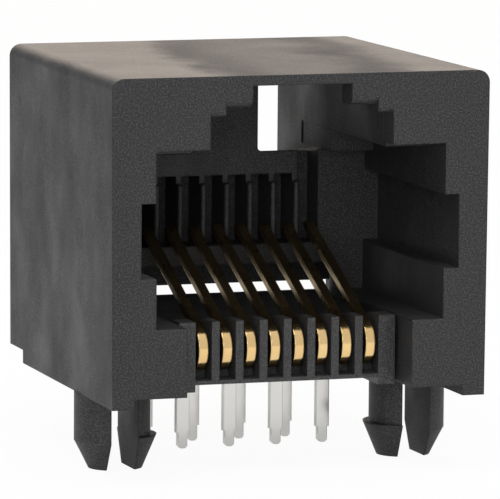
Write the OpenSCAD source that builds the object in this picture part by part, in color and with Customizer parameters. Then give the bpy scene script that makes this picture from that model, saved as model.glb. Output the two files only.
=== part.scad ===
// Board-mounted modular jack, 8 positions and 8 contacts, side entry.
// Millimetres, +Z up from the circuit board. The plug goes in along +Y.
// The origin is on the board, midway between the two board pegs.
// Depths are measured back from the front face, heights up from the board.

/* [Housing] */
// Wall beside the widest part of the plug opening, at the front
side_wall = 1.24; // [0.9:0.02:1.6]
// Roof over the latch recess
roof_t = 0.41; // [0.3:0.01:0.8]
// Rear wall thickness
rear_wall = 1.6; // [1.2:0.05:2.2]
// Side wall draft toward the rear, in degrees
side_draft = 1.02; // [0:0.02:1.2]
// Side wall lean toward the board, in degrees
side_lean = 0.33; // [0:0.01:0.6]
// Radius along the two long top edges
top_edge_r = 0.5; // [0.2:0.05:0.8]
// Width of the rail that stands on the board along each side
rail_w = 1.0; // [0.7:0.05:1.1]
// Height of the rails
rail_h = 0.4; // [0.2:0.02:0.6]
// Length of the lifted rear end of each side wall
rear_lift_l = 1.97; // [1:0.05:3]
// Height of the lifted rear end above the board
rear_lift_h = 0.55; // [0.45:0.01:1.2]

/* [Plug opening] */
// Width between the side grooves, the widest part
groove_w = 13.42; // [13:0.02:13.6]
// Width above the side grooves
plug_w = 12.22; // [11.9:0.02:12.4]
// Width below the side grooves
lower_w = 12.14; // [11.9:0.02:12.4]
// Height of the sill below the plug
sill_z = 3.16; // [3.0:0.02:3.5]
// Height of the underside of the side grooves
groove_z = 5.2; // [4.8:0.02:5.6]
// Height of the top of the side grooves
groove_top_z = 8.21; // [7.9:0.02:8.6]
// Height of the plug's ceiling
ceiling_z = 10.0; // [9.8:0.02:10.1]
// Lead-in of the ceiling at the front, up
lead_h = 0.28; // [0.1:0.01:0.4]
// Lead-in of the ceiling at the front, back
lead_l = 1.8; // [1:0.05:2.4]
// Depth from the front face to the wall behind the plug
plug_depth = 9.6; // [9.4:0.05:9.8]
// Length of the two stop ledges below the ceiling, in front of that wall
ledge_l = 1.05; // [0.6:0.05:1.3]

/* [Latch recess] */
// Width of the keyway for the latch
keyway_w = 7.72; // [7.5:0.02:7.9]
// Height of the top of the keyway
keyway_z = 11.58; // [11.4:0.01:11.7]
// Width of the middle step
step_w = 6.42; // [6.2:0.02:6.6]
// Height of the underside of the latch stops
step_z = 11.9; // [11.8:0.01:12.1]
// Rounded lead-in of the keyway's top
keyway_round = 0.25; // [0.1:0.05:0.3]
// Rounded lead-in under the latch stops
stop_round = 0.45; // [0.2:0.05:0.5]
// Width of the notch between the latch stops
notch_w = 4.18; // [3.9:0.02:4.4]
// Height of the top of the notch
notch_z = 12.79; // [12.65:0.01:12.9]
// Thickness of the latch stops
stop_t = 1.24; // [1.1:0.02:1.6]
// Width of the recess behind the latch stops, and over both tunnels behind it
recess_w = 8.4; // [8.1:0.02:8.7]
// Width of the web between the two tunnels
web_w = 2.8; // [2:0.05:3.2]
// Height of the tunnels' floor at the wall behind the plug
tunnel_z = 9.05; // [8.9:0.01:9.2]
// Height of the tunnels' floor at the rear face
tunnel_back_z = 8.25; // [8.2:0.01:8.7]
// Radius of the tunnels' lower corners
tunnel_r = 0.15; // [0.1:0.05:0.3]
// Depth of the shallow pockets in the tunnels' outer walls
pocket_t = 0.05; // [0.02:0.01:0.1]
// How far the pockets reach back past the wall behind the plug
pocket_l = 2.5; // [2:0.1:3]

/* [Comb] */
// Thickness of the ribs between the contact tips
comb_rib = 0.26; // [0.2:0.01:0.32]
// Extra width of the first and the last slot, on their outer side
end_slot_extra = 0.14; // [0:0.01:0.2]
// How far the ribs' round noses stand out of the wall
rib_nose = 0.3; // [0.2:0.02:0.4]
// Height of the top of the ribs' noses
rib_nose_z = 7.75; // [7.4:0.05:7.9]
// Depth of the comb slots in the wall
comb_depth = 1.4; // [1.2:0.05:1.6]
// Height of the bottom of the comb slots
comb_z = 5.16; // [5.1:0.02:5.3]
// Height of the top of the comb slots
comb_top_z = 8.08; // [7.95:0.01:8.15]
// Solid plastic behind the comb, up to the rear wall
comb_back = 2.6; // [2:0.1:3.4]
// Height of the underside of the comb's bar
bar_z = 4.3; // [4.1:0.05:4.6]

/* [Rear and bottom bay] */
// Gap on each side of the insert at the front
bay_gap = 0.15; // [0.05:0.01:0.2]
// Half width of the bay at the rear
rear_bay_half = 6.45; // [6.0:0.05:6.6]
// Depth from the front face to where the bay widens
rear_bay_d = 10.0; // [9.8:0.05:10.4]
// Height of the rear opening
rear_open_z = 3.0; // [2.6:0.05:3.2]

/* [Contact insert] */
// Width of the insert
insert_w = 9.22; // [9.1:0.02:9.3]
// Depth from the front face to the insert
insert_set = 1.6; // [1.5:0.02:1.7]
// Length of the insert, front to back
insert_l = 9.0; // [8.9:0.05:9.3]
// Height of the insert's underside
insert_z = 0.63; // [0.55:0.01:0.7]
// Height of the underside of the two cheeks
cheek_z = 0.34; // [0.3:0.02:0.5]
// Height of the top of the two cheeks
cheek_top_z = 2.95; // [2.85:0.01:3.05]
// Length of the raised front of the cheeks
cheek_l = 1.7; // [1.2:0.1:2]
// Height of the top of the ribs between the noses
rib_top_z = 3.17; // [3.1:0.01:3.3]
// Height of the top of the body behind the ribs
insert_top_z = 2.7; // [2.6:0.02:2.8]
// Height of the top of the body at its rear end
insert_back_z = 3.04; // [2.9:0.02:3.1]
// Width of the slots for the noses
nose_slot_w = 0.68; // [0.6:0.01:0.72]
// How far the slots reach back
nose_slot_l = 2.1; // [2:0.05:2.4]
// Thickness of the floor in front of and below the noses
front_band = 0.16; // [0.1:0.01:0.25]
// How far each side tongue stands out
tongue_w = 0.55; // [0.3:0.05:0.8]
// Thickness of the side tongues
tongue_t = 0.9; // [0.6:0.05:1.2]
// Height of the underside of the tongues
tongue_z = 1.45; // [1.3:0.05:1.6]
// Depth from the insert's front to its tongues
tongue_set = 4.0; // [3:0.1:5]

/* [Contacts] */
// Distance between neighbouring contacts
contact_pitch = 1.016; // [1:0.002:1.03]
// Width of a contact strip
strip_w = 0.38; // [0.35:0.01:0.5]
// Thickness of a contact strip
strip_t = 0.3; // [0.25:0.01:0.35]
// Outer radius of the nose bend
nose_r = 0.92; // [0.85:0.01:0.95]
// Height of the centre of the nose bend
nose_z = 2.01; // [1.97:0.01:2.05]
// Slope of the spring beams, in degrees
beam_rise = 24.6; // [23.5:0.1:25.5]
// Room between a beam's tip and the end of its comb slot
tip_room = 1.45; // [1.1:0.05:1.6]
// Inner radius where a strip turns down to its tail
tail_bend_r = 0.2; // [0.1:0.02:0.25]
// Width of a tail
tail_w = 0.55; // [0.45:0.01:0.6]
// Width of a tail's tip
tail_tip_w = 0.39; // [0.25:0.01:0.44]
// Length of a tail below the board plane
tail_l = 2.9; // [2:0.05:3.5]
// Length of the narrow tip
tail_tip_l = 0.65; // [0.3:0.05:1]
// Distance from the pegs back to the front row of tails
row_1 = 2.54; // [2.3:0.02:2.8]
// Distance between the two rows of tails
row_gap = 1.78; // [1.5:0.02:1.9]

/* [Board pegs] */
// Distance between the two pegs
peg_spacing = 12.7; // [12.6:0.02:12.8]
// Depth from the front face to the pegs
peg_set = 4.9; // [4.7:0.05:5.1]
// Peg diameter
peg_d = 3.1; // [2.9:0.05:3.2]
// Width of the slit that lets a peg spring
peg_slit = 1.16; // [0.8:0.02:1.3]
// How far the slit lies toward the jack's middle
slit_shift = 0.1; // [0:0.02:0.2]
// Length of a peg below the board plane
peg_l = 3.1; // [2.8:0.05:4]
// Length of the tapered end of a peg's outer half
peg_taper_l = 1.15; // [0.9:0.05:1.4]
// How far the tapered end comes in at the tip
peg_taper = 0.58; // [0.3:0.02:0.8]
// Length from the tip up to the barb, on the inner half
barb_l = 1.38; // [1.2:0.02:1.6]
// How far the barb stands out
barb_out = 0.27; // [0.1:0.01:0.35]

/* [Hidden] */
$fn = 64;
positions = 8;
over = 0.5;
fit = 0.02;
front_w = groove_w + 2 * side_wall;
body_h = notch_z + roof_t;
comb_end = plug_depth + comb_depth;
rear_wall_d = comb_end + comb_back;
body_d = rear_wall_d + rear_wall;
insert_end = insert_set + insert_l;
bay_half = insert_w / 2 + bay_gap;
tongue_half = insert_w / 2 + tongue_w;
// The noses come level with the insert's front; legs lie on its floor
nose_d = insert_set + nose_r;
leg_z = nose_z - nose_r;
tail_bottom = -tail_l;

function contact_x(k) = (k - (positions + 1) / 2) * contact_pitch;
function tail_d(k) = peg_set + row_1 + (k % 2) * row_gap;

// A box given by its two opposite corners
module span(x0, x1, y0, y1, z0, z1) {
    translate([x0, y0, z0]) cube([x1 - x0, y1 - y0, z1 - z0]);
}

// A box centred on x = 0
module middle(w, y0, y1, z0, z1) {
    span(-w / 2, w / 2, y0, y1, z0, z1);
}

// A profile drawn as (depth, height), drawn out over a width in x
module along_x(w) {
    translate([-w / 2, 0, 0]) rotate([90, 0, 90]) linear_extrude(height = w) children();
}

// A profile drawn as (x, height), drawn out from depth y0 to y1
module along_y(y0, y1) {
    translate([0, y1, 0]) rotate([90, 0, 0]) linear_extrude(height = y1 - y0) children();
}

// Front outline of one side: square far side, rounded top edge, leaning wall
module side_outline() {
    far = front_w;
    lean = (body_h - top_edge_r) * tan(side_lean);
    difference() {
        translate([-front_w / 2, 0]) square([far, body_h]);
        difference() {
            translate([-front_w / 2 - over, body_h - top_edge_r])
                square([top_edge_r + over, top_edge_r + over]);
            translate([-front_w / 2 + top_edge_r, body_h - top_edge_r]) circle(r = top_edge_r);
        }
        polygon([[-front_w / 2, body_h - top_edge_r], [-front_w / 2 - over, body_h - top_edge_r],
                 [-front_w / 2 - over, -over], [-front_w / 2 + lean, -over],
                 [-front_w / 2 + lean, 0]]);
    }
}

// One side of the shell, turned about its front edge by the draft
module drafted_side() {
    translate([-front_w / 2, 0, 0]) rotate([0, 0, -side_draft]) translate([front_w / 2, 0, 0])
        along_y(-over, body_d + over) side_outline();
}

module shell() {
    intersection() {
        drafted_side();
        mirror([1, 0, 0]) drafted_side();
        middle(2 * front_w, 0, body_d, -over, body_h + over);
    }
}

// Section of a tunnel with rounded lower corners, its floor at height 0
module tunnel_section(w, h) {
    translate([-w / 2, tunnel_r]) square([w, h - tunnel_r]);
    translate([-w / 2 + tunnel_r, 0]) square([w - 2 * tunnel_r, h]);
    for (s = [-1, 1])
        translate([s * (w / 2 - tunnel_r), tunnel_r]) circle(r = tunnel_r);
}

module plug_space() {
    middle(plug_w, -over, plug_depth, groove_z, tunnel_z);
    middle(plug_w, -over, plug_depth - ledge_l, groove_z, ceiling_z);
    middle(recess_w, -over, plug_depth, groove_z, ceiling_z);
    middle(plug_w, -over, lead_l, groove_z, ceiling_z + lead_h);
    middle(groove_w, -over, plug_depth, groove_z, groove_top_z);
    middle(lower_w, -over, plug_depth, sill_z, groove_z + fit);
}

// Rounded front edge over an opening of width w whose top is at height z
module lead_in(w, z, r) {
    difference() {
        middle(w, -over, r, z - fit, z + r);
        along_x(w + over) translate([r, z + r]) circle(r = r);
    }
}

// Keyway and stops at the front, and the recess that the plug's latch springs into
module latch_space() {
    middle(keyway_w, -over, stop_t + fit, ceiling_z - fit, keyway_z);
    lead_in(keyway_w, keyway_z, keyway_round);
    middle(step_w, -over, stop_t + fit, ceiling_z - fit, step_z);
    lead_in(step_w, step_z, stop_round);
    middle(notch_w, -over, stop_t + fit, ceiling_z - fit, notch_z);
    middle(recess_w, stop_t, plug_depth, ceiling_z - fit, notch_z);
}

// Two tunnels from the recess out through the rear, whose floors fall backward,
// each with a shallow pocket in its outer wall
module tunnels() {
    l = body_d - plug_depth;
    centre = (recess_w + web_w) / 4;
    outer = recess_w / 2 + pocket_t;
    for (s = [-1, 1]) {
        translate([s * centre, 0, 0])
            intersection() {
                translate([0, plug_depth, tunnel_z])
                    rotate([-atan((tunnel_z - tunnel_back_z) / l), 0, 0])
                        along_y(-2 * over, l + 2 * over)
                            tunnel_section((recess_w - web_w) / 2, body_h);
                middle(recess_w, 0, body_d + over, 0, notch_z);
            }
        translate([s * (centre + outer) / 2, plug_depth, 0])
            middle(outer - centre, -ledge_l - fit, pocket_l, tunnel_z, ceiling_z);
    }
}

// Slots between the comb's ribs, one for each contact tip
module comb_slots() {
    slot = contact_pitch - comb_rib;
    for (k = [2:positions - 1])
        translate([contact_x(k), 0, 0])
            middle(slot, plug_depth - fit, comb_end, comb_z, comb_top_z);
    for (s = [-1, 1])
        translate([s * (contact_x(positions) + end_slot_extra / 2), 0, 0])
            middle(slot + end_slot_extra, plug_depth - fit, comb_end, comb_z, tunnel_z + fit);
}

// Round noses that the comb's ribs have in front of the wall
module rib_noses() {
    nose_l = rib_nose - comb_rib / 2;
    for (k = [1:positions - 1])
        translate([contact_x(k) + contact_pitch / 2, 0, 0]) {
            middle(comb_rib, plug_depth - nose_l, plug_depth + fit, comb_z, rib_nose_z);
            translate([0, plug_depth - nose_l, comb_z])
                cylinder(h = rib_nose_z - comb_z, d = comb_rib);
        }
}

// Bay for the insert, open below, and the wider bay at the rear
module insert_bay() {
    middle(2 * bay_half, -over, plug_depth, -over, sill_z + fit);
    middle(2 * bay_half, plug_depth - fit, rear_bay_d + fit, -over, bar_z);
    middle(2 * rear_bay_half, rear_bay_d, rear_wall_d, -over, bar_z);
    middle(2 * rear_bay_half, rear_wall_d - fit, body_d + over, -over, rear_open_z);
    middle(2 * (tongue_half + fit), insert_set + tongue_set, insert_end + fit,
           tongue_z, tongue_z + tongue_t);
}

// Half of a split peg, on the +x side when side is 1. Its tapered end is
// taper_l long and set out by the given distance, which forms a barb.
module half_peg(side, taper_l, out) {
    intersection() {
        union() {
            translate([0, 0, taper_l - peg_l - fit])
                cylinder(h = peg_l - taper_l + rail_h + 2 * fit, d = peg_d);
            translate([side * out, 0, -peg_l])
                cylinder(h = taper_l, r1 = peg_d / 2 - peg_taper, r2 = peg_d / 2);
        }
        translate([slit_shift + side * (peg_slit / 2 + peg_d), 0, 0])
            middle(2 * peg_d, -peg_d, peg_d, -peg_l - over, rail_h + over);
    }
}

// Split peg with the jack's middle on its +x side: the inner half has the barb
module peg() {
    half_peg(-1, peg_taper_l, 0);
    half_peg(1, barb_l, barb_out);
}

module both_pegs() {
    translate([-peg_spacing / 2, peg_set, 0]) peg();
    translate([peg_spacing / 2, peg_set, 0]) mirror([1, 0, 0]) peg();
}

module housing() {
    color("#2b2b2d")
    translate([0, -peg_set, 0]) {
        difference() {
            shell();
            plug_space();
            latch_space();
            tunnels();
            comb_slots();
            insert_bay();
            middle(front_w - 2 * rail_w, -over, body_d + over, -over, rail_h);
            middle(2 * front_w, body_d - rear_lift_l, body_d + over, -over, rear_lift_h);
        }
        rib_noses();
        intersection() {
            both_pegs();
            union() {
                shell();
                middle(2 * front_w, 0, body_d, -peg_l - over, 0);
            }
        }
    }
}

// Side view of the insert's ribs
module rib_outline() {
    polygon([[insert_set, insert_z], [insert_end, insert_z], [insert_end, insert_back_z],
             [insert_set + nose_slot_l + 1, insert_top_z],
             [insert_set + nose_slot_l / 2, rib_top_z], [insert_set, rib_top_z]]);
}

// Room for one contact: nose slot in front, leg groove and tail hole behind
module contact_room(k) {
    slot_end = insert_set + nose_slot_l;
    td = tail_d(k);
    translate([contact_x(k), 0, 0]) {
        middle(nose_slot_w, insert_set - over, nose_d, insert_z + front_band, rib_top_z + over);
        middle(nose_slot_w, nose_d - fit, slot_end, leg_z, rib_top_z + over);
        middle(strip_w + 2 * fit, slot_end - fit, td + strip_t / 2 + fit, leg_z,
               leg_z + strip_t + fit);
        middle(tail_w + 2 * fit, td - strip_t / 2 - tail_bend_r, td + strip_t / 2 + fit,
               insert_z - over, leg_z + strip_t + fit);
    }
}

module contact_insert() {
    cheek = insert_w / 2 - contact_x(positions) - nose_slot_w / 2;
    color("#242426")
    translate([0, -peg_set, 0]) {
        difference() {
            union() {
                along_x(insert_w - fit) rib_outline();
                for (s = [-1, 1])
                    translate([s * (insert_w - cheek) / 2, 0, 0]) {
                        middle(cheek, insert_set, insert_end, cheek_z, insert_top_z);
                        middle(cheek, insert_set, insert_set + cheek_l, cheek_z, cheek_top_z);
                    }
                middle(2 * tongue_half, insert_set + tongue_set, insert_end,
                       tongue_z, tongue_z + tongue_t);
            }
            for (k = [1:positions]) contact_room(k);
            for (s = [-1, 1])
                translate([s * insert_w / 2, 0, 0])
                    middle(2 * fit, insert_set - over, insert_set + nose_slot_l + 1,
                           cheek_top_z, rib_top_z + over);
        }
    }
}

// Flat strip bent in one plane: tip, beam, nose, leg and the turn down
module strip_outline(td) {
    beam_end = comb_end - tip_room;
    beam_l = (beam_end - nose_d) / cos(beam_rise) + nose_r * tan(beam_rise) - strip_t;
    turn_d = td - strip_t / 2 - tail_bend_r;
    reach = 2 * nose_r;
    translate([nose_d, nose_z]) {
        intersection() {
            difference() {
                circle(r = nose_r);
                circle(r = nose_r - strip_t);
            }
            polygon([[0, 0], [-reach * sin(beam_rise), reach * cos(beam_rise)],
                     [-reach, reach], [-reach, -reach], [0, -reach]]);
        }
        rotate(beam_rise) translate([-fit, nose_r - strip_t]) square([beam_l, strip_t]);
        translate([-fit, -nose_r]) square([turn_d - nose_d + 2 * fit, strip_t]);
    }
    translate([turn_d, leg_z - tail_bend_r])
        intersection() {
            difference() {
                circle(r = tail_bend_r + strip_t);
                circle(r = tail_bend_r);
            }
            translate([0, -fit]) square(tail_bend_r + strip_t + fit);
        }
}

module contact(k) {
    td = tail_d(k);
    shoulder = tail_bottom + tail_tip_l;
    color("#c99a3f")
    translate([contact_x(k), -peg_set, 0]) {
        along_x(strip_w) strip_outline(td);
        middle(tail_w, td - strip_t / 2, td + strip_t / 2, shoulder, leg_z - tail_bend_r);
        along_y(td - strip_t / 2, td + strip_t / 2)
            polygon([[-tail_tip_w / 2, shoulder + fit], [-tail_tip_w / 2, tail_bottom + 0.1],
                     [-tail_tip_w / 2 + 0.1, tail_bottom], [tail_tip_w / 2 - 0.1, tail_bottom],
                     [tail_tip_w / 2, tail_bottom + 0.1], [tail_tip_w / 2, shoulder + fit]]);
    }
}

module contact_1() { contact(1); }
module contact_2() { contact(2); }
module contact_3() { contact(3); }
module contact_4() { contact(4); }
module contact_5() { contact(5); }
module contact_6() { contact(6); }
module contact_7() { contact(7); }
module contact_8() { contact(8); }

housing();
contact_insert();
contact_1();
contact_2();
contact_3();
contact_4();
contact_5();
contact_6();
contact_7();
contact_8();
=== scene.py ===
import bpy, math
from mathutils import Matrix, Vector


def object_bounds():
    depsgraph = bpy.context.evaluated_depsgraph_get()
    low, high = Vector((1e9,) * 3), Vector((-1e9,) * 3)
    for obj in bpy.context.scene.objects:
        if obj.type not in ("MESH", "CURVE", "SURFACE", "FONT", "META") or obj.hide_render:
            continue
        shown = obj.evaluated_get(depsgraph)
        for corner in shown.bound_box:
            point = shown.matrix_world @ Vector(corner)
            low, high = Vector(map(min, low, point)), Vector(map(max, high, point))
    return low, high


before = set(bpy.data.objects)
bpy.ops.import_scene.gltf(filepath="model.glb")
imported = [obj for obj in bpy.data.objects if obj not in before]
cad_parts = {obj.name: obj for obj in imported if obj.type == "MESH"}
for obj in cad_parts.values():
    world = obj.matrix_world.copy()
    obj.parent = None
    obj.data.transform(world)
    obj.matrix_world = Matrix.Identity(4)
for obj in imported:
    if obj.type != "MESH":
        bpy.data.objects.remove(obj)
cad_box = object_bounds()
bpy.ops.object.select_all(action='DESELECT')


# ---------------------------------------------------------------------------
# Housing: one moulding in black polyester, board pegs and all. Its mould was
# spark-eroded, so the skin is a fine grain of pits and bright specks. The
# thin roof over the latch recess has sunk a little and is duller there.
# ---------------------------------------------------------------------------
def new_group(name, inputs, outputs):
    group = bpy.data.node_groups.new(name, 'ShaderNodeTree')
    for label, kind in inputs:
        group.interface.new_socket(name=label, in_out='INPUT', socket_type=kind)
    for label, kind in outputs:
        group.interface.new_socket(name=label, in_out='OUTPUT', socket_type=kind)
    return group, group.nodes.new('NodeGroupInput'), group.nodes.new('NodeGroupOutput')


def noise(tree, vector, per_metre, detail, roughness):
    texture = tree.nodes.new('ShaderNodeTexNoise')
    texture.inputs['Detail'].default_value = detail
    texture.inputs['Roughness'].default_value = roughness
    tree.links.new(vector, texture.inputs['Vector'])
    if isinstance(per_metre, float):
        texture.inputs['Scale'].default_value = per_metre
    else:
        tree.links.new(per_metre, texture.inputs['Scale'])
    return texture.outputs['Fac']


def ramp(tree, value, low, high, to_low=0.0, to_high=1.0, smooth=False):
    span = tree.nodes.new('ShaderNodeMapRange')
    span.interpolation_type = 'SMOOTHSTEP' if smooth else 'LINEAR'
    ends = {'From Min': low, 'From Max': high, 'To Min': to_low, 'To Max': to_high}
    for label, number in ends.items():
        span.inputs[label].default_value = number
    tree.links.new(value, span.inputs['Value'])
    return span.outputs['Result']


def maths(tree, kind, first, second=0.0):
    node = tree.nodes.new('ShaderNodeMath')
    node.operation = kind
    for socket, value in zip(node.inputs, (first, second)):
        if isinstance(value, float):
            socket.default_value = value
        else:
            tree.links.new(value, socket)
    return node.outputs['Value']


def blend(tree, mask, first, second):
    node = tree.nodes.new('ShaderNodeMix')
    node.data_type = 'RGBA'
    tree.links.new(mask, node.inputs['Factor'])
    colours = [socket for socket in node.inputs if socket.type == 'RGBA']
    for socket, value in zip(colours, (first, second)):
        if isinstance(value, tuple):
            socket.default_value = (*value, 1)
        else:
            tree.links.new(value, socket)
    return next(socket for socket in node.outputs if socket.type == 'RGBA')


def coordinates(tree, vector):
    split = tree.nodes.new('ShaderNodeSeparateXYZ')
    tree.links.new(vector, split.inputs['Vector'])
    return split.outputs['X'], split.outputs['Y'], split.outputs['Z']


def soft_edges(tree, radius):
    bevel = tree.nodes.new('ShaderNodeBevel')
    bevel.samples = 4
    bevel.inputs['Radius'].default_value = radius
    return bevel.outputs['Normal']


def dress(node_name, material):
    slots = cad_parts[node_name].data.materials
    slots.clear()
    slots.append(material)


# The grain of a spark-eroded mould: its height, and a mask of its bright specks
SPECKS_FROM, SPECKS_FULL = 0.44, 0.70
spark_grain, group_in, group_out = new_group(
    'spark_grain',
    inputs=[('Vector', 'NodeSocketVector'), ('Pits per metre', 'NodeSocketFloat')],
    outputs=[('Height', 'NodeSocketFloat'), ('Specks', 'NodeSocketFloat')])
pits = noise(spark_grain, group_in.outputs['Vector'], group_in.outputs['Pits per metre'],
             detail=2.0, roughness=0.6)
spark_grain.links.new(pits, group_out.inputs['Height'])
spark_grain.links.new(ramp(spark_grain, pits, SPECKS_FROM, SPECKS_FULL), group_out.inputs['Specks'])

# Soft blotches of rubbing, a little taller than wide, as on handled plastic
BLOTCHES_PER_METRE = 330.0
BLOTCH_SQUASH = (1.0, 1.0, 0.7)
BLOTCH_FROM, BLOTCH_FULL = 0.32, 0.70
rubbing, group_in, group_out = new_group(
    'rubbing',
    inputs=[('Vector', 'NodeSocketVector')],
    outputs=[('Mask', 'NodeSocketFloat')])
stretch = rubbing.nodes.new('ShaderNodeMapping')
stretch.inputs['Scale'].default_value = BLOTCH_SQUASH
rubbing.links.new(group_in.outputs['Vector'], stretch.inputs['Vector'])
blotches = noise(rubbing, stretch.outputs['Vector'], BLOTCHES_PER_METRE, detail=5.0, roughness=0.62)
rubbing.links.new(ramp(rubbing, blotches, BLOTCH_FROM, BLOTCH_FULL), group_out.inputs['Mask'])

# Added to a plastic's roughness where nothing has rubbed it, and where it is rubbed
UNRUBBED_ROUGHNESS = 0.12
RUBBED_ROUGHNESS = -0.11
PLASTIC_IOR = 1.5
GRAIN_STRENGTH = 0.35
GRAIN_DEPTH = 0.00002


def moulded_plastic(name, dark, pale, rough, pits_per_metre, edge_radius):
    material = bpy.data.materials.new(name)
    material.use_nodes = True
    tree = material.node_tree
    skin = tree.nodes['Principled BSDF']
    skin.inputs['IOR'].default_value = PLASTIC_IOR
    place = tree.nodes.new('ShaderNodeTexCoord').outputs['Object']
    grain = tree.nodes.new('ShaderNodeGroup')
    grain.node_tree = spark_grain
    grain.inputs['Pits per metre'].default_value = pits_per_metre
    rubbed = tree.nodes.new('ShaderNodeGroup')
    rubbed.node_tree = rubbing
    for group in (grain, rubbed):
        tree.links.new(place, group.inputs['Vector'])
    tree.links.new(blend(tree, grain.outputs['Specks'], dark, pale), skin.inputs['Base Color'])
    roughness = ramp(tree, rubbed.outputs['Mask'], 0, 1,
                     rough + UNRUBBED_ROUGHNESS, rough + RUBBED_ROUGHNESS)
    tree.links.new(roughness, skin.inputs['Roughness'])
    bump = tree.nodes.new('ShaderNodeBump')
    bump.inputs['Strength'].default_value = GRAIN_STRENGTH
    bump.inputs['Distance'].default_value = GRAIN_DEPTH
    tree.links.new(grain.outputs['Height'], bump.inputs['Height'])
    tree.links.new(soft_edges(tree, edge_radius), bump.inputs['Normal'])
    tree.links.new(bump.outputs['Normal'], skin.inputs['Normal'])
    return material, place, roughness


black_plastic, place, roughness = moulded_plastic(
    'black_plastic', dark=(0.007, 0.007, 0.0075), pale=(0.058, 0.058, 0.062),
    rough=0.54, pits_per_metre=14500.0, edge_radius=0.00013)
tree = black_plastic.node_tree
x, y, z = coordinates(tree, place)

# The top is less rubbed than the sides, so its roughness is drawn to one value
TOP_ROUGHNESS = 0.52
TOP_EVENNESS = 0.75
roof_z = cad_box[1][2]
on_top = ramp(tree, z, roof_z - 0.0002, roof_z - 0.0001)
unevenness = maths(tree, 'SUBTRACT', roughness, TOP_ROUGHNESS)
evened = maths(tree, 'MULTIPLY', unevenness, maths(tree, 'MULTIPLY', on_top, TOP_EVENNESS))
roughness = maths(tree, 'SUBTRACT', roughness, evened)

# The sink mark is a band from front to rear along the top, patchy and dullest
# toward its two sides. It leans toward +X at the rear, and its sides stray.
# SINK_CORE, SINK_DULLEST and SINK_END are distances from its middle line.
SINK_MIDDLE_X = 0.0011
SINK_LEAN = 0.10
SINK_STRAY = 0.004
SINK_CORE, SINK_DULLEST, SINK_END = 0.0008, 0.0032, 0.0048
SINK_CORE_SHARE = 0.5
SINK_PATCH_SHARE = 0.7
SINK_ROUGHNESS = 0.19
wander = noise(tree, place, 240.0, detail=5.0, roughness=0.65)
stray = maths(tree, 'MULTIPLY', maths(tree, 'SUBTRACT', wander, 0.5), SINK_STRAY)
lean = maths(tree, 'MULTIPLY', y, SINK_LEAN)
across = maths(tree, 'ADD', maths(tree, 'SUBTRACT', x, lean), stray)
across = maths(tree, 'ABSOLUTE', maths(tree, 'SUBTRACT', across, SINK_MIDDLE_X))
sunk = ramp(tree, across, SINK_END, SINK_DULLEST, smooth=True)
core = ramp(tree, across, SINK_CORE, SINK_DULLEST, to_low=SINK_CORE_SHARE, smooth=True)
patches = ramp(tree, wander, 0.35, 0.65, to_low=SINK_PATCH_SHARE)
dull = maths(tree, 'MULTIPLY', sunk, maths(tree, 'MULTIPLY', core, patches))
dull = maths(tree, 'MULTIPLY', dull, on_top)
roughness = maths(tree, 'ADD', roughness, maths(tree, 'MULTIPLY', dull, SINK_ROUGHNESS))
tree.links.new(roughness, tree.nodes['Principled BSDF'].inputs['Roughness'])
dress('housing', black_plastic)

# ---------------------------------------------------------------------------
# Contact insert: a second black moulding, slid into the bottom of the housing
# from behind. Thin ribs keep the contact noses apart.
# ---------------------------------------------------------------------------
insert_plastic, _, _ = moulded_plastic(
    'insert_plastic', dark=(0.014, 0.014, 0.0145), pale=(0.080, 0.080, 0.083),
    rough=0.44, pits_per_metre=15500.0, edge_radius=0.00005)
dress('contact_insert', insert_plastic)

# ---------------------------------------------------------------------------
# Contacts: flat strips stamped from phosphor bronze, gold-plated over the
# nose and beam, tin-plated where they are soldered. The plating changes
# inside the insert. Higher up the beams, the gold is painted darker and made
# rougher: painted shade of the dark cavity that the beams reach into.
# ---------------------------------------------------------------------------
CONTACT_COUNT = 8
CONTACT_EDGE_RADIUS = 0.00007
TIN = (0.74, 0.73, 0.71)
GOLD = (0.94, 0.67, 0.32)
HAZED_GOLD = (0.88, 0.60, 0.27)
# Painted shade: the darker gold of the beams inside the dark cavity
SHADED_BEAM_GOLD = (0.52, 0.38, 0.20)
TIN_TOP_Z, GOLD_BOTTOM_Z = 0.0005, 0.0009
# Heights over which the painted shade on the beams comes in, and its added roughness
BEAM_SHADE_FROM_Z, BEAM_SHADE_FULL_Z = 0.0026, 0.0038
CLEAR_ROUGHNESS, HAZED_ROUGHNESS = 0.14, 0.20
BEAM_SHADE_ROUGHNESS = 0.12

plated_contact = bpy.data.materials.new('plated_contact')
plated_contact.use_nodes = True
tree = plated_contact.node_tree
metal = tree.nodes['Principled BSDF']
metal.inputs['Metallic'].default_value = 1.0
place = tree.nodes.new('ShaderNodeTexCoord').outputs['Object']
_, _, z = coordinates(tree, place)
above_tin = ramp(tree, z, TIN_TOP_Z, GOLD_BOTTOM_Z)
# Mask of the painted shade on the beams, full from BEAM_SHADE_FULL_Z up
in_beam_shade = ramp(tree, z, BEAM_SHADE_FROM_Z, BEAM_SHADE_FULL_Z, smooth=True)
haze = noise(tree, place, 900.0, detail=2.0, roughness=0.5)
gold = blend(tree, ramp(tree, haze, 0.3, 0.7), GOLD, HAZED_GOLD)
gold = blend(tree, in_beam_shade, gold, SHADED_BEAM_GOLD)
tree.links.new(blend(tree, above_tin, TIN, gold), metal.inputs['Base Color'])
hazed = ramp(tree, haze, 0.3, 0.7, CLEAR_ROUGHNESS, HAZED_ROUGHNESS)
roughness = maths(tree, 'ADD', hazed, maths(tree, 'MULTIPLY', in_beam_shade, BEAM_SHADE_ROUGHNESS))
tree.links.new(roughness, metal.inputs['Roughness'])
tree.links.new(soft_edges(tree, CONTACT_EDGE_RADIUS), metal.inputs['Normal'])
for number in range(1, CONTACT_COUNT + 1):
    dress(f'contact_{number}', plated_contact)

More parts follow.
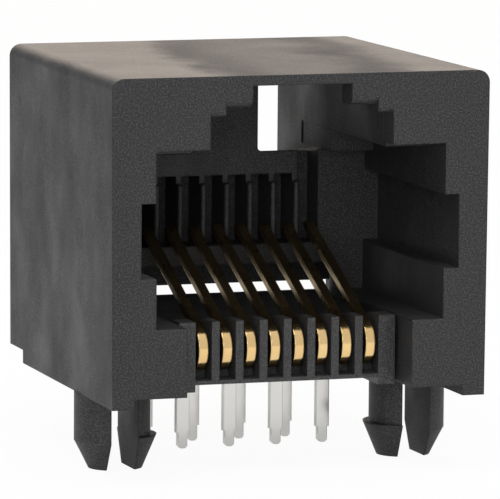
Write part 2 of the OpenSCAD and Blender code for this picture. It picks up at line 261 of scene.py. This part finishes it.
# ---------------------------------------------------------------------------
# Floor: a white card just under the pegs' tips. It glows to the camera, so it
# looks white with the part's faint shadow on it, and half as much to gloss.
# ---------------------------------------------------------------------------
FLOOR_DROP = 0.00002
FLOOR_GLOW = 0.95
GLOW_IN_GLOSS = 0.55
CARD_WHITE = (0.9, 0.9, 0.9, 1)

bpy.ops.mesh.primitive_plane_add(size=4.0, location=(0, 0, cad_box[0][2] - FLOOR_DROP))
floor = bpy.context.object
floor.name = 'floor'
white_floor = bpy.data.materials.new('white_floor')
white_floor.use_nodes = True
tree = white_floor.node_tree
card = tree.nodes['Principled BSDF']
card.inputs['Base Color'].default_value = CARD_WHITE
card.inputs['Roughness'].default_value = 0.9
glow = tree.nodes.new('ShaderNodeEmission')
glow.inputs['Color'].default_value = (1, 1, 1, 1)
path = tree.nodes.new('ShaderNodeLightPath')
in_gloss = maths(tree, 'MULTIPLY', path.outputs['Is Glossy Ray'], GLOW_IN_GLOSS)
seen = maths(tree, 'MAXIMUM', path.outputs['Is Camera Ray'], in_gloss)
cover = tree.nodes.new('ShaderNodeMixShader')
tree.links.new(maths(tree, 'MULTIPLY', seen, FLOOR_GLOW), cover.inputs['Fac'])
tree.links.new(card.outputs['BSDF'], cover.inputs[1])
tree.links.new(glow.outputs['Emission'], cover.inputs[2])
tree.links.new(cover.outputs['Shader'], tree.nodes['Material Output'].inputs['Surface'])
floor.data.materials.append(white_floor)

# ---------------------------------------------------------------------------
# Room and lamps: a white room, brighter in front of the part and to its right
# than behind it and to its left, and soft lamps above, in front and behind.
# ---------------------------------------------------------------------------
ROOM_FRONT_LEVEL, ROOM_REAR_LEVEL = 0.70, 0.42
ROOM_FRONT_END, ROOM_REAR_END = -0.7, 1.1
ROOM_SIDE_SHARE = 0.6
DIFFUSE_DIMMING = 0.25

white_room = bpy.data.worlds.new('white_room')
bpy.context.scene.world = white_room
white_room.use_nodes = True
tree = white_room.node_tree
room = tree.nodes['Background']
room.inputs['Color'].default_value = (1, 1, 1, 1)
path = tree.nodes.new('ShaderNodeLightPath')
direction = tree.nodes.new('ShaderNodeTexCoord').outputs['Generated']
x, y, _ = coordinates(tree, direction)
rearward = maths(tree, 'SUBTRACT', y, maths(tree, 'MULTIPLY', x, ROOM_SIDE_SHARE))
level = ramp(tree, rearward, ROOM_FRONT_END, ROOM_REAR_END,
             ROOM_FRONT_LEVEL, ROOM_REAR_LEVEL, smooth=True)
dimming = maths(tree, 'MULTIPLY', path.outputs['Is Diffuse Ray'], DIFFUSE_DIMMING)
level = maths(tree, 'SUBTRACT', level, dimming)
level = maths(tree, 'MAXIMUM', level, path.outputs['Is Camera Ray'])
tree.links.new(level, room.inputs['Strength'])


def soft_lamp(name, place, aim_z, size, watts, tint=(1.0, 1.0, 1.0)):
    bpy.ops.object.light_add(type='AREA', location=place)
    lamp = bpy.context.object
    lamp.name = name
    lamp.data.size = size
    lamp.data.energy = watts
    lamp.data.color = tint
    x, y, z = place
    lamp.rotation_euler = (math.atan2(math.hypot(x, y), z - aim_z), 0, math.atan2(x, -y))


soft_lamp('lamp_above', (-0.05, -0.10, 0.35), aim_z=0.005, size=0.25, watts=0.8)
soft_lamp('lamp_front', (-0.20, -0.42, 0.16), aim_z=0.005, size=0.22, watts=0.6)
soft_lamp('lamp_behind', (0.10, 0.45, 0.22), aim_z=0.010, size=0.30, watts=0.75, tint=(1.0, 0.84, 0.70))

# ---------------------------------------------------------------------------
# Camera: a long lens, from the front, a little to the left and above, and
# rolled by half a degree.
# ---------------------------------------------------------------------------
CAMERA_PLACE = (-0.07521, -0.21866, 0.03568)
CAMERA_TURN_DEG = (82.5792, -0.4709, -18.8011)

bpy.ops.object.camera_add(location=CAMERA_PLACE,
                          rotation=[math.radians(turn) for turn in CAMERA_TURN_DEG])
camera = bpy.context.object
camera.data.sensor_width = 36.0
camera.data.lens = 412.465
camera.data.clip_start = 0.01
camera.data.clip_end = 20.0
bpy.context.scene.camera = camera
bpy.context.scene.view_settings.view_transform = 'Standard'
